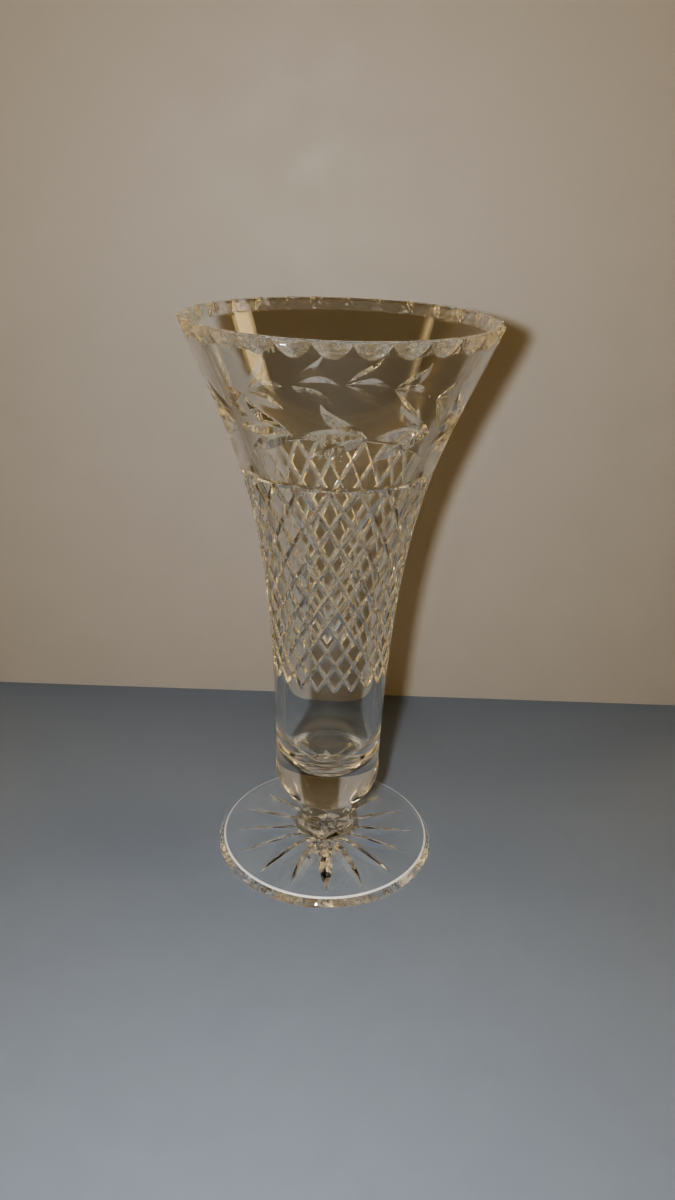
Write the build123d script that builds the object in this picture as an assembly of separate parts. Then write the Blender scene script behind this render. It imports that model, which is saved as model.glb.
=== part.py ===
from build123d import *
import os
from math import atan, cos, radians, sin

# Footed flower vase in cut lead crystal, 300 mm tall.
# Three glass pieces, joined hot by the maker: the hollow bowl, the short solid neck and the round foot.
# Frame: millimetres, +Z up, origin on the table under the middle of the foot.
# An outline point is (radius, height). Angles about the axis run from -Y, anticlockwise seen from above.

# ---- driving dimensions -----------------------------------------------------------------------
VASE_HEIGHT = 300.0
FOOT_RADIUS = 62.7          # widest, just above the table
FOOT_REST_RADIUS = 61.7     # edge of the ground face that stands on the table
FOOT_TOP_RADIUS = 59.3      # polished top edge
FOOT_EDGE_HEIGHT = 4.7
FOOT_TOP_HEIGHT = 9.5       # where the neck is joined on
NECK_TOP_HEIGHT = 29.5      # where the bowl is joined on
NECK_RADIUS = 16.4          # at both joints
NECK_WAIST_RADIUS = 15.8

BOWL_SIDE_HEIGHT = 58.0     # the round end of the bowl runs into its side here
BOWL_SIDE_RADIUS = 29.2
MOUTH_RADIUS = 77.1         # the side's line carried up to the full height
RIM_THICKNESS = 5.0
CAVITY_FLOOR_HEIGHT = 52.0
CAVITY_SIDE_HEIGHT = 80.0   # the round floor of the hollow runs into its side here
CAVITY_SIDE_RADIUS = 24.4

SCALLOP_COUNT = 29
SCALLOP_PHASE = 10.3         # angle of one scallop's middle, in degrees
SCALLOP_WHEEL_RADIUS = 17.0
SCALLOP_INNER_RADIUS = 73.9  # how near the wheel's face comes to the vase's axis

RING_CUT_HEIGHT = 229.3
RING_CUT_DEPTH = 0.9
RING_CUT_HALF_WIDTH = 1.1

# Angles of the sprigs' joints. The cutter steps them off by eye, so the gaps are not quite equal.
SPRIG_JOINTS = (-19, 13, 44, 79, 114, 148, 177, 208, 242, 275, 308)
SPRIG_JOINT_HEIGHT = 256.3
LEAF_CUT_WIDTH = 7.0
LEAF_CUT_DEPTH = 1.8
# Each leaf of a sprig: rise of its tip above the joint (mm), turn round the vase (degrees).
LEAF_TIPS = {"upper": (14.5, 20.5), "middle": (-0.4, 28.5), "lower": (-11.3, 26.0)}

STAR_RAYS = 16
STAR_PHASE = 2.2
STAR_TIP_RADIUS = 52.0
STAR_CUT_DEPTH = 3.0
STAR_CUT_WIDTH = 7.8


# ---- helpers ----------------------------------------------------------------------------------
def turned(*edges):
    """A solid of revolution about Z from the edges of its half section."""
    return revolve(make_face(edges), Axis.Z, 360)


def at(radius, height):
    """The point of the half section at this radius and height."""
    return (radius, 0, height)


def around(radius, height, angle):
    """The point at this radius and height, turned by angle from -Y."""
    return Vector(radius * sin(radians(angle)), -radius * cos(radians(angle)), height)


# ---- bowl outline -----------------------------------------------------------------------------
def bowl_side():
    """Outer side: straight and narrow low down, opening to the mouth in one long curve."""
    return Bezier(
        at(BOWL_SIDE_RADIUS, BOWL_SIDE_HEIGHT),
        at(32.5, 213.0),
        at(48.0, 229.2),
        at(MOUTH_RADIUS, VASE_HEIGHT),
    )


def side_radius(height):
    """Radius of the outer side at a height, read off the same curve by halving the interval."""
    side = bowl_side()
    low, high = 0.0, 1.0
    for _ in range(30):
        middle = (low + high) / 2
        if (side @ middle).Z < height:
            low = middle
        else:
            high = middle
    return (side @ low).X


def side_slope(height):
    """Angle by which the outer side leans outwards at a height."""
    step = 0.5
    return atan((side_radius(height + step) - side_radius(height - step)) / (2 * step))


# ---- foot -------------------------------------------------------------------------------------
def star_wheel():
    """Cutting wheel with a V edge that leaves one pointed ray of the star, axis along Z."""
    half_length = STAR_TIP_RADIUS / 2
    radius = half_length**2 / (2 * STAR_CUT_DEPTH)
    half_thickness = STAR_CUT_WIDTH
    edge_drop = half_thickness * 2 * STAR_CUT_DEPTH / STAR_CUT_WIDTH
    half = Cone(radius, radius - edge_drop, half_thickness, align=(Align.CENTER, Align.CENTER, Align.MIN))
    return radius, half + mirror(half, Plane.XY)


def make_foot():
    """Round foot: low flat dish with a bevelled edge, a star cut underneath, a fillet up to the neck."""
    disc = turned(
        Line(at(0, 0), at(FOOT_REST_RADIUS, 0)),
        Line(at(FOOT_REST_RADIUS, 0), at(FOOT_RADIUS, 0.8)),
        Line(at(FOOT_RADIUS, 0.8), at(FOOT_TOP_RADIUS + 0.3, FOOT_EDGE_HEIGHT - 0.5)),
        Bezier(
            at(FOOT_TOP_RADIUS + 0.3, FOOT_EDGE_HEIGHT - 0.5),
            at(FOOT_TOP_RADIUS, FOOT_EDGE_HEIGHT),
            at(FOOT_TOP_RADIUS - 0.6, FOOT_EDGE_HEIGHT + 0.05),
        ),
        Line(at(FOOT_TOP_RADIUS - 0.6, FOOT_EDGE_HEIGHT + 0.05), at(27.0, 6.1)),
        Bezier(at(27.0, 6.1), at(20.5, 6.4), at(NECK_RADIUS + 0.6, FOOT_TOP_HEIGHT)),
        Line(at(NECK_RADIUS + 0.6, FOOT_TOP_HEIGHT), at(0, FOOT_TOP_HEIGHT)),
        Line(at(0, FOOT_TOP_HEIGHT), at(0, 0)),
    )
    wheel_radius, wheel = star_wheel()
    cuts = []
    for ray in range(STAR_RAYS):
        angle = STAR_PHASE + ray * 360 / STAR_RAYS
        centre = around(STAR_TIP_RADIUS / 2, STAR_CUT_DEPTH - wheel_radius, angle)
        across = around(1, 0, angle + 90)
        cuts.append(Plane(origin=centre, z_dir=across) * wheel)
    return disc - cuts


# ---- neck -------------------------------------------------------------------------------------
def make_neck():
    """Short solid neck, slightly waisted, its ends ground flat against the foot and the bowl."""
    middle = (FOOT_TOP_HEIGHT + NECK_TOP_HEIGHT) / 2
    waist = 2 * NECK_WAIST_RADIUS - NECK_RADIUS
    return turned(
        Line(at(0, FOOT_TOP_HEIGHT), at(NECK_RADIUS + 0.6, FOOT_TOP_HEIGHT)),
        Bezier(
            at(NECK_RADIUS + 0.6, FOOT_TOP_HEIGHT),
            at(waist, middle - 3.0),
            at(waist, middle + 4.0),
            at(NECK_RADIUS, NECK_TOP_HEIGHT),
        ),
        Line(at(NECK_RADIUS, NECK_TOP_HEIGHT), at(0, NECK_TOP_HEIGHT)),
        Line(at(0, NECK_TOP_HEIGHT), at(0, FOOT_TOP_HEIGHT)),
    )


# ---- bowl -------------------------------------------------------------------------------------
def bowl_blank():
    """The blown bowl before cutting: thick solid end, hollow above, open mouth."""
    inner_mouth = MOUTH_RADIUS - RIM_THICKNESS
    return turned(
        Line(at(0, NECK_TOP_HEIGHT), at(NECK_RADIUS, NECK_TOP_HEIGHT)),
        Bezier(
            at(NECK_RADIUS, NECK_TOP_HEIGHT),
            at(23.8, 35.4),
            at(31.3, 41.9),
            at(BOWL_SIDE_RADIUS, BOWL_SIDE_HEIGHT),
        ),
        bowl_side(),
        Line(at(MOUTH_RADIUS, VASE_HEIGHT), at(inner_mouth + 1.0, VASE_HEIGHT)),
        Bezier(
            at(inner_mouth + 1.0, VASE_HEIGHT),
            at(inner_mouth + 0.1, VASE_HEIGHT),
            at(inner_mouth - 0.4, VASE_HEIGHT - 1.0),
        ),
        Bezier(
            at(inner_mouth - 0.4, VASE_HEIGHT - 1.0),
            at(42.9, 228.8),
            at(27.0, 213.0),
            at(CAVITY_SIDE_RADIUS, CAVITY_SIDE_HEIGHT),
        ),
        Bezier(
            at(CAVITY_SIDE_RADIUS, CAVITY_SIDE_HEIGHT),
            at(24.0, 63.0),
            at(14.5, CAVITY_FLOOR_HEIGHT),
            at(0, CAVITY_FLOOR_HEIGHT),
        ),
        Line(at(0, CAVITY_FLOOR_HEIGHT), at(0, NECK_TOP_HEIGHT)),
    )


def scallop_wheels():
    """Upright cylinders round the rim; each leaves a half-moon bevel on the outside of the lip."""
    height = 24.0
    wheels = []
    for number in range(SCALLOP_COUNT):
        angle = SCALLOP_PHASE + number * 360 / SCALLOP_COUNT
        centre = around(SCALLOP_INNER_RADIUS + SCALLOP_WHEEL_RADIUS, VASE_HEIGHT, angle)
        wheels.append(Pos(centre) * Cylinder(SCALLOP_WHEEL_RADIUS, height))
    return wheels


def ring_cut():
    """V groove round the bowl, the upper border of the diamond-cut band."""
    radius = side_radius(RING_CUT_HEIGHT)
    outside = 1.5
    reach = RING_CUT_HALF_WIDTH * (RING_CUT_DEPTH + outside) / RING_CUT_DEPTH
    root = at(radius - RING_CUT_DEPTH, RING_CUT_HEIGHT)
    top = at(radius + outside, RING_CUT_HEIGHT + reach)
    bottom = at(radius + outside, RING_CUT_HEIGHT - reach)
    return turned(Line(root, top), Line(top, bottom), Line(bottom, root))


def leaf_cut(start, tip):
    """Straight V tool laid across the round wall between two points: it leaves one pointed leaf."""
    along = (tip - start).normalized()
    middle = (start + tip) / 2
    angle_out = Vector(middle.X, middle.Y, 0).normalized()
    lean = side_slope(middle.Z)
    outward = angle_out * cos(lean) - Vector(0, 0, 1) * sin(lean)
    outward = (outward - along * outward.dot(along)).normalized()
    radius = side_radius(middle.Z)
    surface = angle_out * radius + Vector(0, 0, middle.Z)
    height = 4 * LEAF_CUT_DEPTH
    half_width = LEAF_CUT_WIDTH / 2 * height / LEAF_CUT_DEPTH
    section = Plane(origin=surface - outward * LEAF_CUT_DEPTH, x_dir=outward.cross(along), z_dir=along)
    triangle = make_face(Polyline((0, 0), (half_width, height), (-half_width, height), close=True))
    length = 1.3 * (tip - start).length
    return extrude(section * triangle, length / 2, both=True)


def leaf_cuts():
    """A garland of sprigs round the bowl, three leaves fanning from each joint."""
    cuts = []
    for joint_angle in SPRIG_JOINTS:
        start = around(side_radius(SPRIG_JOINT_HEIGHT), SPRIG_JOINT_HEIGHT, joint_angle)
        for rise, turn in LEAF_TIPS.values():
            tip_height = SPRIG_JOINT_HEIGHT + rise
            tip = around(side_radius(tip_height), tip_height, joint_angle - turn)
            cuts.append(leaf_cut(start, tip))
    return cuts


def make_bowl():
    """The bowl with its rim, its ring cut and its garland of leaves."""
    return bowl_blank() - scallop_wheels() - ring_cut() - leaf_cuts()


# ---- pieces -----------------------------------------------------------------------------------
pieces = {"foot": make_foot(), "neck": make_neck(), "bowl": make_bowl()}

os.makedirs("parts", exist_ok=True)
for name, piece in pieces.items():
    export_step(piece, f"parts/{name}.step")
    print(f"{name}: {piece.volume / 1000:.1f} cm3")
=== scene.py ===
# %% [markdown]
# # A footed flower vase in cut lead crystal
# The finished vase is three gathers of clear glass that the maker joins while hot: a trumpet-shaped
# bowl, a short solid neck and a round foot. When it is cold, a cutter grinds the pattern into it with
# turning wheels and then polishes every cut. This lesson follows the same order. It blows the blank,
# makes one tool for every cut, grinds them away, and only then thinks about how the glass looks.

# %% Load the frame
from math import cos, radians, sin, tan

import bmesh
import bpy
import numpy as np
from mathutils import Matrix, Vector
from mathutils.kdtree import KDTree


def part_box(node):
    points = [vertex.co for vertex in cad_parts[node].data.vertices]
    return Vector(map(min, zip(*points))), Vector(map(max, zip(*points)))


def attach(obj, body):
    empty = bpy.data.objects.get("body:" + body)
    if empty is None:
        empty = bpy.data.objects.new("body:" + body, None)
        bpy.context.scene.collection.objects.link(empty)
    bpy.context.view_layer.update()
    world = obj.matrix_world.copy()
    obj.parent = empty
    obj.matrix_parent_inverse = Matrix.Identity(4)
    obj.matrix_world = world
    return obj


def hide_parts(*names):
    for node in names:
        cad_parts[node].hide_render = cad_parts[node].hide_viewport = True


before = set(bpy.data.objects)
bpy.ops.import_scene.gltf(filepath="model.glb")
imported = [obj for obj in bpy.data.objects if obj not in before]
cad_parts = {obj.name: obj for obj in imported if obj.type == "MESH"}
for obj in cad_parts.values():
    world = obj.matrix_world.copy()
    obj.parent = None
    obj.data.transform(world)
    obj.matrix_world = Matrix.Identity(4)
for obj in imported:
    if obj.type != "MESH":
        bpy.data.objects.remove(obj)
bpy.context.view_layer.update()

MM = 0.001
scene = bpy.context.scene
print("pieces in the frame:", sorted(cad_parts))

# %% [markdown]
# ## Heights and radii
# The frame knows how tall the vase is, how wide the foot is and where the three gathers meet, so those
# come from it. The rest of the outline is a few curves. A blown shape has no corners: each stretch is
# a Bezier curve, which needs only its two ends and two handles, the same way a maker thinks of it as
# "straight here, opening there". Everything is in millimetres until it becomes a mesh.

# %% Read the driving sizes from the frame
bowl_low, bowl_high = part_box("bowl")
_, foot_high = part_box("foot")
VASE_HEIGHT = bowl_high[2] / MM
NECK_TOP = bowl_low[2] / MM
FOOT_TOP = foot_high[2] / MM
FOOT_RADIUS = foot_high[0] / MM
NECK_RADIUS = 16.4
MOUTH_RADIUS = 77.1
LIP_WIDTH = 5.0
print(f"height {VASE_HEIGHT:.1f}, foot radius {FOOT_RADIUS:.1f}, bowl starts at {NECK_TOP:.1f} mm")


# %% A Bezier curve as points
def bezier(handles, count):
    """Points along a Bezier curve with two, three or four handles, each (radius, height)."""
    points = [np.array(handles, float)[i][None, :] for i in range(len(handles))]
    t = np.linspace(0, 1, count)[:, None]
    while len(points) > 1:
        points = [a * (1 - t) + b * t for a, b in zip(points, points[1:])]
    return points[0]


# %% Outline of the bowl, outside and inside
BOWL_SIDE_START = (29.2, 58.0)
side_curve = bezier([BOWL_SIDE_START, (32.5, 213.0), (48.0, 229.2), (MOUTH_RADIUS, VASE_HEIGHT)], 2001)
end_curve = bezier([(NECK_RADIUS, NECK_TOP), (23.8, 35.4), (31.3, 41.9), BOWL_SIDE_START], 401)
outer_curve = np.vstack([end_curve[:-1], side_curve])

CAVITY_FLOOR = 52.0
CAVITY_SIDE_END = (24.4, 80.0)
inner_mouth = MOUTH_RADIUS - LIP_WIDTH
lip_end = (inner_mouth - 0.5, VASE_HEIGHT - 1.2)
lip_curve = bezier([(inner_mouth + 1.2, VASE_HEIGHT), (inner_mouth + 0.1, VASE_HEIGHT), lip_end], 7)
inner_curve = bezier([lip_end, (42.9, 228.8), (27.0, 213.0), CAVITY_SIDE_END], 1501)
floor_curve = bezier([CAVITY_SIDE_END, (24.0, 63.0), (14.5, CAVITY_FLOOR), (0, CAVITY_FLOOR)], 301)


def side_radius(height):
    """Radius of the bowl's outside at a height."""
    return np.interp(height, outer_curve[:, 1], outer_curve[:, 0])


def side_lean(height):
    """Angle from upright at which the bowl's outside leans outwards."""
    step = 0.5
    low, high = side_radius(height - step), side_radius(height + step)
    return np.arctan2(high - low, 2 * step)


print(f"the mouth leans out by {np.degrees(side_lean(VASE_HEIGHT - 1)):.0f} degrees")


# %% Points and normals on the outside of the bowl
def around(angle, radius, height):
    """A point by its angle in degrees: 0 is towards the camera (-Y), 90 is +X."""
    turn = radians(angle)
    return np.array([radius * sin(turn), -radius * cos(turn), height])


def on_side(angle, height):
    """The point of the bowl's outside at an angle and height, with its outward normal."""
    lean = float(side_lean(height))
    normal = around(angle, cos(lean), -sin(lean))
    return around(angle, float(side_radius(height)), height), normal


print("halfway up, facing the camera:", [np.round(v, 2) for v in on_side(0, VASE_HEIGHT / 2)])

# %% [markdown]
# ## The blank
# A vessel is a shape of revolution, so its mesh is one outline turned round the axis. The outline runs
# from the axis at the bottom, up the outside, over the lip and down the inside, back to the axis. That
# makes one closed skin with real thickness, which is what glass needs: light has to enter and leave.
# The rows are closest where the outline bends most, and the ring is dense enough that the cuts sit in
# a smooth surface.

# %% Fewer points along a curve
def thin(curve, count):
    """The same curve with fewer points, evenly spaced along it."""
    run = np.concatenate([[0], np.cumsum(np.hypot(*np.diff(curve, axis=0).T))])
    at = np.linspace(0, run[-1], count)
    return np.stack([np.interp(at, run, curve[:, k]) for k in (0, 1)], axis=1)


# %% Turn an outline into a closed mesh
def tidy_normals(mesh):
    """Point every face outwards."""
    bm = bmesh.new()
    bm.from_mesh(mesh)
    bmesh.ops.recalc_face_normals(bm, faces=bm.faces)
    bm.to_mesh(mesh)
    bm.free()


def turn_outline(name, outline, segments):
    """A closed mesh of revolution. The outline starts and ends on the axis."""
    angles = [360 * k / segments for k in range(segments)]
    verts = [(0, 0, outline[0][1] * MM)]
    for radius, height in outline[1:-1]:
        verts += [tuple(around(a, radius, height) * MM) for a in angles]
    verts.append((0, 0, outline[-1][1] * MM))
    last = len(verts) - 1
    rings = len(outline) - 2
    faces = []
    for k in range(segments):
        n = (k + 1) % segments
        faces.append((0, 1 + n, 1 + k))
        for ring in range(rings - 1):
            a, b = 1 + ring * segments, 1 + (ring + 1) * segments
            faces.append((a + k, a + n, b + n, b + k))
        top = 1 + (rings - 1) * segments
        faces.append((last, top + k, top + n))
    mesh = bpy.data.meshes.new(name)
    mesh.from_pydata(verts, [], faces)
    piece = bpy.data.objects.new(name, mesh)
    scene.collection.objects.link(piece)
    tidy_normals(mesh)
    return piece


# %% Blow the bowl
BOWL_SEGMENTS = 264
bowl_outline = np.vstack([
    [(0, NECK_TOP)],
    thin(end_curve, 20)[:-1],
    thin(side_curve, 96),
    lip_curve[:-1],
    thin(inner_curve, 44)[:-1],
    thin(floor_curve, 16),
])
bowl = turn_outline("cut_bowl", bowl_outline, BOWL_SEGMENTS)
print("bowl blank:", len(bowl.data.polygons), "faces")

# %% [markdown]
# ## The cutter's wheels
# Most cuts are mitre cuts: a wheel with a V edge is pressed into the glass and the vase is drawn along
# it. So one helper makes a V-shaped tool along any line on a surface, as deep as we say at each point.
# Where the depth passes zero the tool lifts out of the glass, and the cut ends in a point, as it does
# under a real wheel. Grinding is a Boolean difference. Tools that would overlap each other are ground
# in separate passes, because the solver wants each tool to be a clean solid.

# %% A V tool along a line
# How far a tool's flat back stays above the glass: at least this much, and more where the wheel lifts.
TOOL_CLEARANCE = 0.6
LIFT_CLEARANCE = 0.3


def wheel_piece(name, bm):
    """Turn a finished bmesh into a tool that can be ground with."""
    bmesh.ops.recalc_face_normals(bm, faces=bm.faces)
    mesh = bpy.data.meshes.new(name)
    bm.to_mesh(mesh)
    bm.free()
    tool = bpy.data.objects.new(name, mesh)
    scene.collection.objects.link(tool)
    return tool


def v_tools(name, cuts, half_angle):
    """One mesh of V-shaped tools. A cut is a list of (point, outward normal, depth)."""
    spread = tan(radians(half_angle))
    bm = bmesh.new()
    for cut in cuts:
        points = np.array([c[0] for c in cut])
        along = np.gradient(points, axis=0)
        rows = []
        for (point, normal, depth), run in zip(cut, along):
            side = np.cross(normal, run)
            side /= np.linalg.norm(side)
            lift = max(TOOL_CLEARANCE, LIFT_CLEARANCE - depth)
            width = (depth + lift) * spread
            corners = [point - normal * depth, point + normal * lift + side * width,
                       point + normal * lift - side * width]
            rows.append([bm.verts.new(c * MM) for c in corners])
        for a, b in zip(rows, rows[1:]):
            for i, j in ((0, 1), (1, 2), (2, 0)):
                bm.faces.new((a[i], a[j], b[j], b[i]))
        bm.faces.new(rows[0])
        bm.faces.new(rows[-1][::-1])
    return wheel_piece(name, bm)


# %% One grinding pass
def grind(piece, tool):
    """Take the tool's shape out of the piece and put the tool away."""
    cut = piece.modifiers.new("cut", "BOOLEAN")
    cut.operation = "DIFFERENCE"
    cut.solver = "MANIFOLD"
    cut.object = tool
    graph = bpy.context.evaluated_depsgraph_get()
    ground = bpy.data.meshes.new_from_object(piece.evaluated_get(graph), depsgraph=graph)
    ground.name = piece.data.name
    piece.modifiers.remove(cut)
    piece.data = ground
    bpy.data.objects.remove(tool)


# %% [markdown]
# ## Diamonds
# Two families of mitre cuts climb the bowl, one leaning each way, always at the same angle to upright.
# Where they cross they leave raised diamonds that keep the blown surface on top. Because the angle is
# constant, the diamonds shrink as the bowl narrows. Going a short way down a leaning line turns it by
# (way along the side) x tan(angle) / radius, so adding those turns up gives the whole line.

# %% Follow the two families of leaning cuts
DIAMONDS_AROUND = 22
CUT_LEAN = 31.0
RING_HEIGHT = 229.3
BAND_TOP = 228.8
DIAMOND_PHASE = -3.1
DIAMOND_ROWS = 13
half_pitch = 180 / DIAMONDS_AROUND

# The heights reach past both ends of the band, so that a cut can be followed until the wheel is clear.
band_heights = np.linspace(BAND_TOP + 3, 100, 1400)
slant = np.abs(np.gradient(band_heights)) / np.cos(side_lean(band_heights))
turned = np.degrees(np.cumsum(slant * tan(radians(CUT_LEAN)) / side_radius(band_heights)))
turned -= np.interp(-BAND_TOP, -band_heights, turned)
rows_down = turned / half_pitch
band_bottom = float(np.interp(DIAMOND_ROWS, rows_down, band_heights))
print(f"diamond band from {BAND_TOP:.1f} down to {band_bottom:.1f} mm")


# The cuts are shallower lower down. Rows count diamonds down from the top, and the wheel lifts out
# within a part of a row at each end, and runs on a little in the air.
FIRST_ROW, LAST_ROW = -0.18, DIAMOND_ROWS + 0.22
DEPTH_AT_TOP, DEPTH_LOST = 1.22, 0.22
LIFT_TOP, LIFT_BOTTOM = 0.14, 0.18


def leaning_cut(start_angle, direction):
    """The line of one leaning cut, with the wheel lifting out at both ends."""
    cut = []
    for row in np.linspace(FIRST_ROW, LAST_ROW, 130):
        height = float(np.interp(row, rows_down, band_heights))
        point, normal = on_side(start_angle + direction * row * half_pitch, height)
        full = DEPTH_AT_TOP - DEPTH_LOST * row / DIAMOND_ROWS
        into = min(1.0, (row + LIFT_TOP) / LIFT_TOP, (DIAMOND_ROWS + LIFT_BOTTOM - row) / LIFT_BOTTOM)
        cut.append((point, normal, full * into))
    return cut


# %% Grind the diamonds
DIAMOND_HALF_ANGLE = 50.5
for direction in (1, -1):
    starts = [DIAMOND_PHASE + 2 * half_pitch * k for k in range(DIAMONDS_AROUND)]
    cuts = [leaning_cut(start, direction) for start in starts]
    grind(bowl, v_tools("diamond_wheel", cuts, DIAMOND_HALF_ANGLE))
print("after the diamonds:", len(bowl.data.polygons), "faces")

# %% [markdown]
# ## Ring cut
# One V groove runs level round the bowl and closes the diamond band at the top. It could be one more
# tool along a line, but a ring has no ends to lift out of, so its tool is a turned triangle. Half a step
# of turn keeps the tool's edges away from the bowl's own, which the solver likes better.

# %% Grind the ring
def ring_tool(height, depth, half_width):
    """A turned V that cuts a level ring round the outside of the bowl."""
    radius = float(side_radius(height))
    reach = 1.5
    spread = half_width * (depth + reach) / depth
    back = radius + reach
    corners = [(radius - depth, height), (back, height - spread), (back, height + spread)]
    verts = []
    for k in range(BOWL_SEGMENTS):
        verts += [tuple(around(360 * (k + 0.5) / BOWL_SEGMENTS, r, h) * MM) for r, h in corners]
    faces = []
    for k in range(BOWL_SEGMENTS):
        n = (k + 1) % BOWL_SEGMENTS
        for i in range(3):
            j = (i + 1) % 3
            faces.append((3 * k + i, 3 * k + j, 3 * n + j, 3 * n + i))
    mesh = bpy.data.meshes.new("ring_wheel")
    mesh.from_pydata(verts, [], faces)
    tidy_normals(mesh)
    tool = bpy.data.objects.new("ring_wheel", mesh)
    scene.collection.objects.link(tool)
    return tool


RING_DEPTH = 1.0
RING_HALF_WIDTH = 1.3
grind(bowl, ring_tool(RING_HEIGHT, RING_DEPTH, RING_HALF_WIDTH))
print("after the ring:", len(bowl.data.polygons), "faces")

# %% [markdown]
# ## Garland of leaves
# Above the ring a garland of sprigs goes round the bowl. Each sprig has three long pointed leaves that
# fan out from one joint, and its middle leaf reaches the next joint. A leaf is a mitre cut along a
# gently bent line, deepest halfway, with a wide V so that its two sides catch the light differently.

# %% Grind the leaves, one leaf of every sprig at a time
# Angle of each sprig's joint. The cutter steps them off by eye, so the gaps are not quite equal.
SPRIG_JOINTS = (-19, 13, 44, 79, 114, 148, 177, 208, 242, 275, 308)
JOINT_HEIGHT = 256.3
# Each leaf: its depth, then the handles of its line as (degrees back from the joint, mm up from it).
LEAVES = {
    "middle": (2.25, [(0, 0), (14, 2.4), (28.5, -0.4)]),
    "upper": (1.9, [(0, 0), (9, 6.0), (17.5, 6.5), (19.5, 16.5)]),
    "lower": (2.0, [(0, 0), (12, -4.0), (26, -11.3)]),
}
LEAF_STEPS = 32
LEAF_HALF_ANGLE = 60


def leaf(joint_angle, deepest, handles):
    """The bent line of one leaf, deepest at its middle, with one step more at each end."""
    line = bezier(handles, LEAF_STEPS + 1)
    first, last = line[1] - line[0], line[-1] - line[-2]
    line = np.vstack([line[0] - first, line, line[-1] + last])
    cut = []
    for number, (back, rise) in enumerate(line):
        t = (number - 1) / LEAF_STEPS
        point, normal = on_side(joint_angle - back, JOINT_HEIGHT + rise)
        cut.append((point, normal, deepest * 4 * t * (1 - t)))
    return cut


for deepest, handles in LEAVES.values():
    cuts = [leaf(joint, deepest, handles) for joint in SPRIG_JOINTS]
    grind(bowl, v_tools("leaf_wheel", cuts, LEAF_HALF_ANGLE))
print("after the leaves:", len(bowl.data.polygons), "faces")

# %% [markdown]
# ## Scalloped rim
# Half-moons are ground round the outside of the lip with a round upright wheel. The wheel never reaches
# the inner edge, so the crest of the rim stays level, and two neighbours meet in a sharp cusp. The top
# of the tool flares a little, which leaves the narrow polished bevel that makes the crest shine.

# %% Grind the scallops, every third one in each pass
SCALLOPS = 29
SCALLOP_PHASE = 10.3
WHEEL_RADIUS = 17.0
WHEEL_REACH = 73.9
WHEEL_FLARE = 0.9
wheel_foot, flare_start, wheel_top = VASE_HEIGHT - 14, VASE_HEIGHT - 0.5, VASE_HEIGHT + 0.6


def scallop_tools(numbers):
    """Upright wheels beside the lip."""
    bm = bmesh.new()
    steps = 160
    profile = [(0, wheel_foot), (WHEEL_RADIUS, wheel_foot), (WHEEL_RADIUS, flare_start),
               (WHEEL_RADIUS + WHEEL_FLARE, wheel_top), (0, wheel_top)]
    for number in numbers:
        centre = around(SCALLOP_PHASE + 360 * number / SCALLOPS, WHEEL_REACH + WHEEL_RADIUS, 0)
        rings = []
        for radius, height in profile:
            if radius == 0:
                rings.append([bm.verts.new((centre + (0, 0, height)) * MM)])
                continue
            ring = [around(360 * k / steps, radius, height) for k in range(steps)]
            rings.append([bm.verts.new((centre + p) * MM) for p in ring])
        for a, b in zip(rings, rings[1:]):
            for k in range(steps):
                n = (k + 1) % steps
                corners = [a[k % len(a)], a[n % len(a)], b[n % len(b)], b[k % len(b)]]
                bm.faces.new(list(dict.fromkeys(corners)))
    return wheel_piece("scallop_wheel", bm)


for first in (0, 1, 2):
    grind(bowl, scallop_tools(range(first, SCALLOPS, 3)))
print("after the scallops:", len(bowl.data.polygons), "faces")

# %% [markdown]
# ## Neck and foot
# The neck is a plain short button, slightly waisted. The foot is a low dish with a bevelled edge. Under
# it the cutter leaves a star: each ray is one straight mitre cut from the middle outwards, and it shows
# from above through the clear glass. A star on the top would be easier to see, but the top of a real
# foot stays smooth, and the thickness of glass above the star is what makes its rays shimmer.
#
# The three pieces are fused, so light must pass from one to the next. Two faces in exactly the same
# place would trap a ray between them for ever and turn black, so the neck is a hair shorter: a
# hundredth of a millimetre at each end.

# %% Turn the neck
HAIR = 0.01
neck_low, neck_high = FOOT_TOP + HAIR, NECK_TOP - HAIR
neck_middle = (FOOT_TOP + NECK_TOP) / 2
NECK_WAIST = 15.2
NECK_FOOT_RADIUS = NECK_RADIUS + 0.6
NECK_SEGMENTS = 144
neck_side = [(NECK_FOOT_RADIUS, neck_low), (NECK_WAIST, neck_middle - 3.0),
             (NECK_WAIST, neck_middle + 4.0), (NECK_RADIUS, neck_high)]
neck_outline = np.vstack([[(0, neck_low)], bezier(neck_side, 28), [(0, neck_high)]])
neck = turn_outline("neck_button", neck_outline, NECK_SEGMENTS)
print("neck:", len(neck.data.polygons), "faces")

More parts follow.
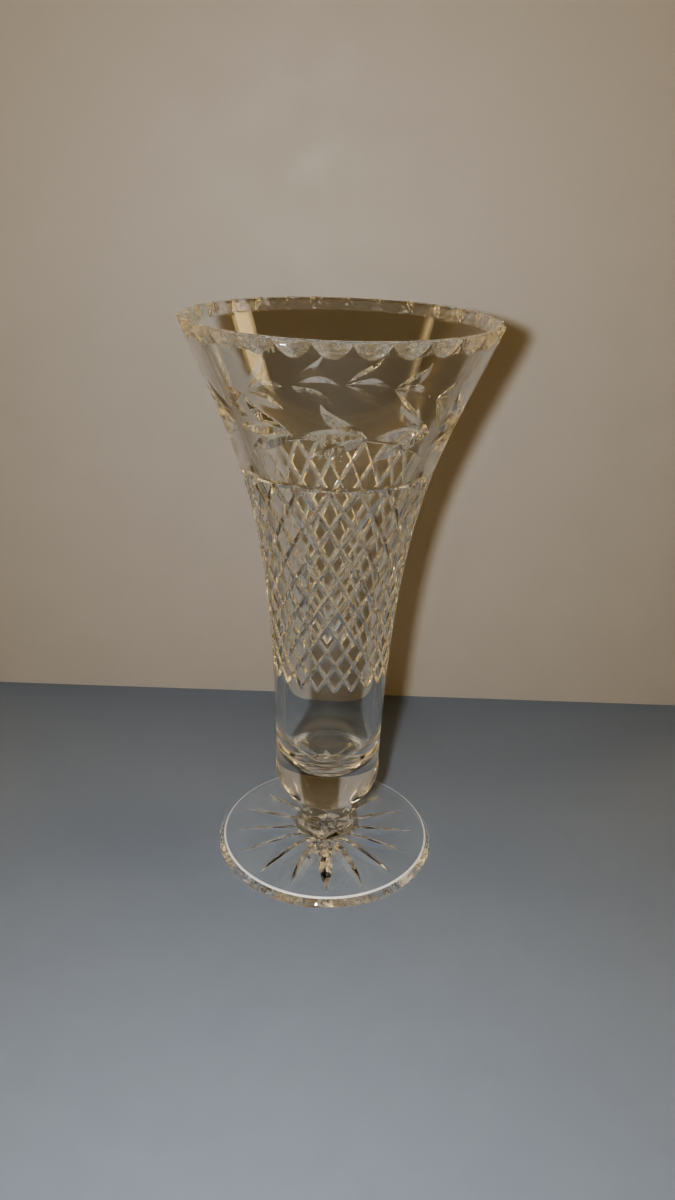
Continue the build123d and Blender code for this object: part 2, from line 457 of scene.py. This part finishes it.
# %% Turn the foot: flat underside, rounded rim, bevel, narrow edge, dished top, rise to the neck
EDGE_RADIUS = 59.3
EDGE_HEIGHT = 4.7
FOOT_SEGMENTS = 192
dish_start = (EDGE_RADIUS - 1.2, EDGE_HEIGHT + 0.08)
dish_curve = bezier([dish_start, (44.0, 5.35), (34.0, 5.75), (27.0, 6.1)], 401)
rise_curve = bezier([(26.0, 6.15), (20.5, 6.5), (NECK_FOOT_RADIUS, FOOT_TOP)], 301)
foot_outline = np.vstack([
    [(0, 0)],
    np.stack([np.linspace(4, FOOT_RADIUS - 1.4, 16), np.zeros(16)], axis=1),
    bezier([(FOOT_RADIUS - 1.0, 0.0), (FOOT_RADIUS, 0.1), (FOOT_RADIUS, 0.8)], 6),
    bezier([(FOOT_RADIUS - 0.1, 1.1), (EDGE_RADIUS + 0.5, EDGE_HEIGHT - 0.7)], 5),
    bezier([(EDGE_RADIUS + 0.4, EDGE_HEIGHT - 0.55), (EDGE_RADIUS + 0.1, EDGE_HEIGHT),
            (EDGE_RADIUS - 0.6, EDGE_HEIGHT + 0.05)], 6),
    thin(dish_curve, 16),
    thin(rise_curve, 12),
    [(0, FOOT_TOP)],
])
foot = turn_outline("star_foot", foot_outline, FOOT_SEGMENTS)
print("foot blank:", len(foot.data.polygons), "faces")

# %% Grind the star
STAR_RAYS = 16
STAR_PHASE = 2.2
STAR_REACH = 52.0
STAR_DEPTH = 3.0
STAR_HALF_ANGLE = 52.4


def star_ray(angle):
    """One straight cut under the foot, deepest halfway out."""
    down = np.array([0, 0, -1.0])
    cut = []
    for t in np.linspace(-0.03, 1.03, 40):
        cut.append((around(angle, STAR_REACH * t, 0), down, STAR_DEPTH * 4 * t * (1 - t)))
    return cut


for ray in range(STAR_RAYS):
    cut = star_ray(STAR_PHASE + 360 * ray / STAR_RAYS)
    grind(foot, v_tools("star_wheel", [cut], STAR_HALF_ANGLE))
print("after the star:", len(foot.data.polygons), "faces")

# %% [markdown]
# ## Smooth where it was blown, crisp where it was cut
# Grinding breaks the smooth skin into many small faces. Left alone they would bend the reflections, so
# the faces that still lie on the blown surface get the exact normals of the outline, and each cut keeps
# sharp borders. A bevel could hide the same fault, but it would also soften the cuts.
# The same test sorts the faces by finish: blown skin, polished cuts, the hidden face where two gathers
# are fused, the satin edge of the foot and the honed scallops of the rim.

# %% Match each vertex with the outline it was turned from
def outline_normals(curve):
    """Points of an outline with unit normals to its right, as (radius, height) pairs."""
    run = np.gradient(curve, axis=0)
    normal = np.stack([run[:, 1], -run[:, 0]], axis=1)
    return curve, normal / np.linalg.norm(normal, axis=1)[:, None]


def match_outline(mesh, curves):
    """For every vertex, its distance from the outline in mm and the outline's exact normal."""
    points = np.array([c for curve in curves for c in outline_normals(curve)[0]])
    normals = np.array([n for curve in curves for n in outline_normals(curve)[1]])
    co = np.empty(len(mesh.vertices) * 3)
    mesh.vertices.foreach_get("co", co)
    co = co.reshape(-1, 3) / MM
    radius = np.hypot(co[:, 0], co[:, 1])
    tree = KDTree(len(points))
    for number, (r, h) in enumerate(points):
        tree.insert((r, h, 0), number)
    tree.balance()
    nearest = np.array([tree.find((r, h, 0))[1] for r, h in zip(radius, co[:, 2])])
    gap = np.abs(((np.stack([radius, co[:, 2]], axis=1) - points[nearest]) * normals[nearest]).sum(axis=1))
    out = co[:, :2] / np.maximum(radius, 1e-6)[:, None]
    exact = np.stack([out[:, 0] * normals[nearest][:, 0], out[:, 1] * normals[nearest][:, 0],
                      normals[nearest][:, 1]], axis=1)
    return gap, exact


# %% Sort the faces by finish and set their normals
BLOWN, CUT, FUSED, GROUND, HONED = 0, 1, 2, 3, 4
SHARP_ANGLE = 9.0
SKIN_TOLERANCE = 0.02
SKIN_AGREEMENT = 0.995
FUSED_TOLERANCE = 0.01
SCALLOP_FOOT = 280.0


def finish_surface(piece, curves, fused_heights, is_ground=None, honed_above=None):
    """Give faces on the outline curves exact normals, and sort the faces by finish."""
    mesh = piece.data
    gap, exact = match_outline(mesh, curves)
    mesh.polygons.foreach_set("use_smooth", [True] * len(mesh.polygons))
    mesh.set_sharp_from_angle(angle=radians(SHARP_ANGLE))
    loop_normals = np.zeros((len(mesh.loops), 3))
    groups = []
    for face in mesh.polygons:
        corners = list(face.vertices)
        flat = Vector(face.normal)
        height = face.center[2] / MM
        level = abs(flat.z) > 0.999
        on_skin = gap[corners].max() < SKIN_TOLERANCE
        if level and any(abs(height - h) < FUSED_TOLERANCE for h in fused_heights):
            groups.append(FUSED)
        elif is_ground and is_ground(np.hypot(face.center[0], face.center[1]) / MM, height):
            groups.append(GROUND)
        elif on_skin and all(flat.dot(Vector(exact[v])) > SKIN_AGREEMENT for v in corners):
            groups.append(BLOWN)
            for corner, vertex in zip(face.loop_indices, corners):
                loop_normals[corner] = exact[vertex]
        else:
            groups.append(HONED if honed_above and height > honed_above else CUT)
    mesh.polygons.foreach_set("material_index", groups)
    mesh.normals_split_custom_set([tuple(n) for n in loop_normals])
    counts = [groups.count(g) for g in (BLOWN, CUT, FUSED, GROUND, HONED)]
    print(piece.name, "faces blown, cut, fused, ground, honed:", counts)


# %% Finish the three pieces
def on_ground_edge(radius, height):
    """The narrow flat between the foot's dished top and its bevel, left satin by the stone."""
    return EDGE_RADIUS - 0.9 < radius < EDGE_RADIUS + 0.5 and height > EDGE_HEIGHT - 0.8


bowl_curves = [outer_curve, inner_curve, floor_curve, lip_curve]
finish_surface(bowl, bowl_curves, [NECK_TOP], honed_above=SCALLOP_FOOT)
finish_surface(neck, [bezier(neck_side, 400)], [neck_low, neck_high])
finish_surface(foot, [dish_curve, rise_curve], [FOOT_TOP], is_ground=on_ground_edge)

# %% [markdown]
# ## Crystal
# Lead crystal bends light more than window glass, with an index of refraction near 1.56, and it is
# almost colourless. A glass shader could do the same job, but the Principled shader keeps the numbers
# in one place: full transmission makes it glass, and its own sockets hold the index and the roughness.
# What makes it look real is the surface, so each finish is its own material on the same shader, and a
# few small helpers wire the textures: noise, a change of range, a tint and a bump.

# %% An empty glass material
CRYSTAL_IOR = 1.56


def new_material(name):
    """An empty node material with a glass shader wired to its output."""
    material = bpy.data.materials.new(name)
    material.use_nodes = True
    nodes, links = material.node_tree.nodes, material.node_tree.links
    nodes.clear()
    output = nodes.new("ShaderNodeOutputMaterial")
    glass = nodes.new("ShaderNodeBsdfPrincipled")
    glass.inputs["Transmission Weight"].default_value = 1.0
    glass.inputs["Roughness"].default_value = 0.0
    links.new(glass.outputs["BSDF"], output.inputs["Surface"])
    return material, nodes, links, glass


# %% Texture helpers
def noise(nodes, links, coords, scale, detail=2.0):
    """A noise texture read from the coordinates it is given."""
    texture = nodes.new("ShaderNodeTexNoise")
    texture.inputs["Scale"].default_value = scale
    texture.inputs["Detail"].default_value = detail
    links.new(coords, texture.inputs["Vector"])
    return texture.outputs["Fac"]


def map_range(nodes, links, value, low, high, new_low, new_high):
    """Stretch a value from one range to another."""
    node = nodes.new("ShaderNodeMapRange")
    for key, number in (("From Min", low), ("From Max", high), ("To Min", new_low), ("To Max", new_high)):
        node.inputs[key].default_value = number
    links.new(value, node.inputs["Value"])
    return node.outputs["Result"]


def tint(nodes, links, value, dark, light):
    """A colour between two tints, chosen by a value from 0 to 1."""
    ramp = nodes.new("ShaderNodeValToRGB")
    ramp.color_ramp.elements[0].color = (*dark, 1)
    ramp.color_ramp.elements[1].color = (*light, 1)
    links.new(value, ramp.inputs["Fac"])
    return ramp.outputs["Color"]


def bump(nodes, links, height, strength, distance):
    """A bump node from a height, in metres at full strength."""
    node = nodes.new("ShaderNodeBump")
    node.inputs["Strength"].default_value = strength
    node.inputs["Distance"].default_value = distance
    links.new(height, node.inputs["Height"])
    return node.outputs["Normal"]


# %% [markdown]
# ## Blown skin
# The skin that never met a wheel is polished by the fire and by the maker's wet wooden tools. It has
# slow ripples and hardly any roughness. The ripples could be modelled, but they are so shallow that a
# bump from a large soft noise does it. A second noise gives the faint smears of handling.

# %% Make the blown skin
def blown_crystal():
    """Fire-polished glass with slow ripples and the faintest smears."""
    material, nodes, links, glass = new_material("blown_crystal")
    place = nodes.new("ShaderNodeTexCoord").outputs["Object"]
    glass.inputs["IOR"].default_value = CRYSTAL_IOR
    smears = noise(nodes, links, place, scale=38.0, detail=4.0)
    colour = tint(nodes, links, smears, (0.93, 0.95, 0.965), (0.975, 0.985, 0.99))
    links.new(colour, glass.inputs["Base Color"])
    links.new(map_range(nodes, links, smears, 0.45, 0.75, 0.0, 0.02), glass.inputs["Roughness"])
    ripples = noise(nodes, links, place, scale=26.0, detail=1.0)
    links.new(bump(nodes, links, ripples, strength=0.25, distance=0.0006), glass.inputs["Normal"])
    return material


# %% [markdown]
# ## Polished cuts
# After the wheel, a cut is polished with felt and pumice until it is clear. Faint lines of the wheel
# stay in it. The lines are far too fine for the mesh, so a tight noise drives a small bump, a trace of
# roughness and a slightly warmer tint than the skin.

# %% Make the polished cuts
def cut_crystal():
    """Polished mitre cuts, with faint lines left by the wheel."""
    material, nodes, links, glass = new_material("polished_cut")
    place = nodes.new("ShaderNodeTexCoord").outputs["Object"]
    glass.inputs["IOR"].default_value = CRYSTAL_IOR
    lines = noise(nodes, links, place, scale=300.0, detail=2.0)
    colour = tint(nodes, links, lines, (0.95, 0.965, 0.97), (0.99, 0.99, 0.985))
    links.new(colour, glass.inputs["Base Color"])
    links.new(map_range(nodes, links, lines, 0.3, 0.8, 0.0, 0.05), glass.inputs["Roughness"])
    links.new(bump(nodes, links, lines, strength=0.35, distance=0.0004), glass.inputs["Normal"])
    return material


# %% [markdown]
# ## Fused joints
# Where the neck meets the bowl and the foot, the real glass is one mass and shows no face. The three
# meshes could be joined into one, but they are three gathers and stay three pieces. So the hidden faces
# between them get glass that does not bend light at all, with an index of 1.

# %% Make the fused joints
def fused_glass():
    """Where two gathers are fused there is no surface at all, so light goes straight through."""
    material, _, _, glass = new_material("fused_joint")
    glass.inputs["IOR"].default_value = 1.0
    glass.inputs["Base Color"].default_value = (1, 1, 1, 1)
    return material


# %% [markdown]
# ## Satin edge
# A fine stone breaks the sharp edge round the top of the foot and leaves it satin. It scatters light and
# reads as a thin white line. A plain white band would look like paint, so this is rough glass that lets
# little light through, with the grit of the stone as noise.

# %% Make the satin edge
def ground_crystal():
    """Glass that a fine stone has left satin, so it scatters light and reads as a white line."""
    material, nodes, links, glass = new_material("satin_edge")
    place = nodes.new("ShaderNodeTexCoord").outputs["Object"]
    glass.inputs["IOR"].default_value = CRYSTAL_IOR
    glass.inputs["Transmission Weight"].default_value = 0.1
    grit = noise(nodes, links, place, scale=900.0, detail=3.0)
    colour = tint(nodes, links, grit, (0.78, 0.82, 0.86), (0.95, 0.96, 0.97))
    links.new(colour, glass.inputs["Base Color"])
    links.new(map_range(nodes, links, grit, 0.3, 0.7, 0.35, 0.55), glass.inputs["Roughness"])
    links.new(bump(nodes, links, grit, strength=0.3, distance=0.0001), glass.inputs["Normal"])
    return material


# %% [markdown]
# ## Honed rim
# The scallops are the last cuts to be polished, and on many vases they keep a slight silvery bloom
# beside the clear skin below. It is the same glass with stronger strokes of the wheel and a little less
# transmission, which is easier to tune than a coat of anything on top.

# %% Make the honed rim
def honed_crystal():
    """The rim is the last thing to be polished and keeps a slight silvery bloom."""
    material, nodes, links, glass = new_material("honed_rim")
    place = nodes.new("ShaderNodeTexCoord").outputs["Object"]
    glass.inputs["IOR"].default_value = CRYSTAL_IOR
    glass.inputs["Transmission Weight"].default_value = 0.95
    strokes = noise(nodes, links, place, scale=220.0, detail=3.0)
    colour = tint(nodes, links, strokes, (0.84, 0.87, 0.90), (0.97, 0.98, 0.98))
    links.new(colour, glass.inputs["Base Color"])
    links.new(map_range(nodes, links, strokes, 0.4, 0.7, 0.0, 0.12), glass.inputs["Roughness"])
    links.new(bump(nodes, links, strokes, strength=0.9, distance=0.0012), glass.inputs["Normal"])
    return material


# %% [markdown]
# ## Give each face its finish
# Every piece carries the same list of materials, in the order of the finish numbers. Clearing a mesh's
# materials also forgets which face used which, so the numbers are read first and written back after.

# %% Hang the finishes on the pieces
finishes = [blown_crystal(), cut_crystal(), fused_glass(), ground_crystal(), honed_crystal()]
for piece in (bowl, neck, foot):
    groups = [face.material_index for face in piece.data.polygons]
    piece.data.materials.clear()
    for material in finishes:
        piece.data.materials.append(material)
    piece.data.polygons.foreach_set("material_index", groups)
print("finishes:", [material.name for material in finishes])

# %% [markdown]
# ## Tell the frame what stands for what
# The vase has no moving parts, so all three gathers ride on the root. Each one takes the place of the
# plain body of the same name.

# %% Ride and replace
for piece, node, slot in ((bowl, "bowl", "cut_crystal"), (neck, "neck", "plain_crystal"),
                          (foot, "foot", "foot_crystal")):
    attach(piece, "root")
    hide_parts(node)
    print(piece.name, "replaces", node)

# %% [markdown]
# ## Stage
# Clear glass shows its surroundings more than itself, so the stage is plain: a pale board to stand on
# and a pale card behind, on a wide dark bench. The bench's dark brown is painted shade: it stands for an
# unlit room, so that the cuts mirror dark glints. A curved paper sweep is more usual, but the line where
# board and card meet is worth having, because the glass bends it and shows how thick it is. The card
# shows only from its front, so it never hides the vase from behind.

# %% Matt paint
def painted(name, colour, grain):
    """Matt paint with a slight roller grain."""
    paint = bpy.data.materials.new(name)
    paint.use_nodes = True
    nodes, links = paint.node_tree.nodes, paint.node_tree.links
    shader = nodes["Principled BSDF"]
    place = nodes.new("ShaderNodeTexCoord").outputs["Object"]
    grain_value = noise(nodes, links, place, scale=grain, detail=3.0)
    dark = tuple(0.94 * c for c in colour)
    links.new(tint(nodes, links, grain_value, dark, colour), shader.inputs["Base Color"])
    links.new(map_range(nodes, links, grain_value, 0.3, 0.7, 0.5, 0.62), shader.inputs["Roughness"])
    return paint


board = painted("pale_blue_board", (0.30, 0.345, 0.42), grain=60)
card = painted("pale_warm_card", (0.46, 0.44, 0.42), grain=30)
# The bench is painted shade: a dark sheet that stands for the unlit room and shows as dark glints in the
# cuts.
bench = painted("painted_shade_bench", (0.10, 0.08, 0.06), grain=30)


# %% A card that is seen only from its front
def see_from_behind(material):
    """Let light through a material wherever it is met from the back."""
    nodes, links = material.node_tree.nodes, material.node_tree.links
    paint, output = nodes["Principled BSDF"], nodes["Material Output"]
    choice = nodes.new("ShaderNodeMixShader")
    links.new(nodes.new("ShaderNodeNewGeometry").outputs["Backfacing"], choice.inputs["Fac"])
    links.new(paint.outputs["BSDF"], choice.inputs[1])
    links.new(nodes.new("ShaderNodeBsdfTransparent").outputs["BSDF"], choice.inputs[2])
    links.new(choice.outputs["Shader"], output.inputs["Surface"])


see_from_behind(card)


# %% Lay the sheets
def sheet(name, corners, material):
    """A flat staged sheet."""
    mesh = bpy.data.meshes.new(name)
    mesh.from_pydata(corners, [], [(0, 1, 2, 3)])
    mesh.materials.append(material)
    piece = bpy.data.objects.new(name, mesh)
    scene.collection.objects.link(piece)
    return piece


def rectangle(half_width, near, far, low, high):
    """Corners of a level sheet (low equals high) or of an upright one (near equals far)."""
    left, right = -half_width, half_width
    if low == high:
        return [(left, near, low), (right, near, low), (right, far, low), (left, far, low)]
    return [(left, far, low), (right, far, low), (right, far, high), (left, far, high)]


# All in metres. The board is a hair below the foot, and the bench is below the board.
FLOOR_Z = -0.0004
BENCH_Z = -0.003
BOARD_HALF_WIDTH = 0.31
BOARD_FRONT = -0.5
BACKDROP_Y = 0.17
CARD_TOP = 0.6
BENCH_REACH = 3
sheet("floor", rectangle(BOARD_HALF_WIDTH, BOARD_FRONT, BACKDROP_Y, FLOOR_Z, FLOOR_Z), board)
sheet("backdrop", rectangle(BOARD_HALF_WIDTH, BACKDROP_Y, BACKDROP_Y, FLOOR_Z, CARD_TOP), card)
sheet("bench", rectangle(BENCH_REACH, -BENCH_REACH, BENCH_REACH, BENCH_Z, BENCH_Z), bench)
print(f"the card stands {BACKDROP_Y / MM:.0f} mm behind the axis")

# %% [markdown]
# ## Lights
# Big lamps make glass look milky, because every facet mirrors them. So the vase gets one panel overhead
# for the board, and one small lamp beside the camera, which gives each cut its own small glint. Soft
# boxes all round would be even, but they would flatten the cuts.

# %% Hang the lights
LIGHT_TARGET = Vector((0, 0, 0.15))


def soft_light(name, azimuth, height, distance, size, power, colour):
    """A square soft box aimed at the middle of the vase."""
    light = bpy.data.lights.new(name, "AREA")
    light.size = size
    light.energy = power
    light.color = colour
    box = bpy.data.objects.new(name, light)
    turn = radians(azimuth)
    box.location = (distance * sin(turn), -distance * cos(turn), height)
    box.rotation_euler = (LIGHT_TARGET - box.location).to_track_quat("-Z", "Y").to_euler()
    scene.collection.objects.link(box)
    return box


soft_light("ceiling", azimuth=-20, height=2.0, distance=0.3, size=1.2, power=1.0,
           colour=(0.92, 0.95, 1.0))
soft_light("front", azimuth=-5, height=0.37, distance=0.46, size=0.022, power=2.1,
           colour=(0.90, 0.95, 1.0))

# %% [markdown]
# ## Light under the foot
# A ray tracer finds the light that falls through clear glass only by luck, and leaves the board under
# the foot far too dark. Tracing these caustics takes very many samples. A real clear disc casts almost
# no shadow, so the foot is simply told to cast none.

# %% Let light reach the board under the foot
foot.visible_shadow = False
print("the foot casts a shadow:", foot.visible_shadow)

# %% [markdown]
# ## The room
# The cuts mirror the whole room, so the world must hold more than one grey. A picture of a real room
# would do it, but a few nodes are enough: a plain warm band of light below, a dark ceiling above, and a
# few bright lamps where the two meet. The lamps are spots of a large soft noise, and they are kept to
# the sides and the back, where they sparkle in the cuts without standing in front of the vase.

# %% A warm band and a dark ceiling
world = bpy.data.worlds.new("room")
scene.world = world
world.use_nodes = True
nodes, links = world.node_tree.nodes, world.node_tree.links
direction = nodes.new("ShaderNodeTexCoord").outputs["Generated"]
split = nodes.new("ShaderNodeSeparateXYZ")
links.new(direction, split.inputs["Vector"])
room = nodes.new("ShaderNodeValToRGB")
band, ceiling = room.color_ramp.elements
band.color, band.position = (1.05, 0.72, 0.29, 1), 0.30
ceiling.color, ceiling.position = (0.015, 0.011, 0.007, 1), 0.42
links.new(split.outputs["Z"], room.inputs["Fac"])
print(f"the ceiling starts at a sine of {ceiling.position:.2f} above level")

# %% Lamps between them, for the cuts
patches = noise(nodes, links, direction, scale=5.0, detail=0.0)
lamp_shape = map_range(nodes, links, patches, 0.57, 0.61, 0.0, 1.0)
above = map_range(nodes, links, split.outputs["Z"], 0.34, 0.38, 0.0, 1.0)
below = map_range(nodes, links, split.outputs["Z"], 0.60, 0.66, 1.0, 0.0)
beside = map_range(nodes, links, split.outputs["Y"], -0.20, -0.05, 0.0, 1.0)
lamp_light = lamp_shape
for limit in (above, below, beside):
    kept = nodes.new("ShaderNodeMath")
    kept.operation = "MULTIPLY"
    links.new(lamp_light, kept.inputs[0])
    links.new(limit, kept.inputs[1])
    lamp_light = kept.outputs["Value"]
lamps = nodes.new("ShaderNodeBackground")
lamps.inputs["Color"].default_value = (1.0, 0.76, 0.42, 1)
lamps.inputs["Strength"].default_value = 5.0
both = nodes.new("ShaderNodeMixShader")
links.new(lamp_light, both.inputs["Fac"])
links.new(room.outputs["Color"], nodes["Background"].inputs["Color"])
links.new(nodes["Background"].outputs["Background"], both.inputs[1])
links.new(lamps.outputs["Background"], both.inputs[2])
links.new(both.outputs["Shader"], nodes["World Output"].inputs["Surface"])
print("the lamps shine at", lamps.inputs["Strength"].default_value)

# %% [markdown]
# ## Long light paths and a firm contrast
# Light crosses many glass faces before it leaves a cut bowl. If the paths are cut short the cuts turn
# black, so they may be very long. Blurring reflections would speed things up, but it would put out the
# glints. A high contrast look keeps the cuts crisp.

# %% Paths and contrast
BOUNCES = 64
scene.cycles.max_bounces = BOUNCES
scene.cycles.transmission_bounces = BOUNCES
scene.cycles.glossy_bounces = BOUNCES
scene.cycles.blur_glossy = 0.0
scene.view_settings.look = "AgX - Very High Contrast"
scene.view_settings.exposure = -0.32
print("look:", scene.view_settings.look, "with bounces:", BOUNCES)

# %% [markdown]
# ## Camera
# The camera stands close, a little above the mouth, and looks down on the vase. So the rim and the foot
# both open into wide ovals, and the near side of each is larger. A longer lens from farther away would
# be calmer, but it would flatten both. A trace of roll keeps it hand-held.

# %% Set up the camera
LENS = 28.36
CAMERA_PLACE = (0.00266, -0.45855, 0.35979)
LOOKS_DOWN = 24.167
ROLL = 1.99
camera = bpy.data.objects.new("camera", bpy.data.cameras.new("camera"))
scene.collection.objects.link(camera)
camera.data.lens = LENS
camera.data.clip_start = 0.01
camera.location = CAMERA_PLACE
tilt = Matrix.Rotation(radians(90 - LOOKS_DOWN), 4, "X") @ Matrix.Rotation(radians(ROLL), 4, "Z")
camera.rotation_euler = tilt.to_euler()
scene.camera = camera
print(f"the camera looks down by {LOOKS_DOWN:.0f} degrees")
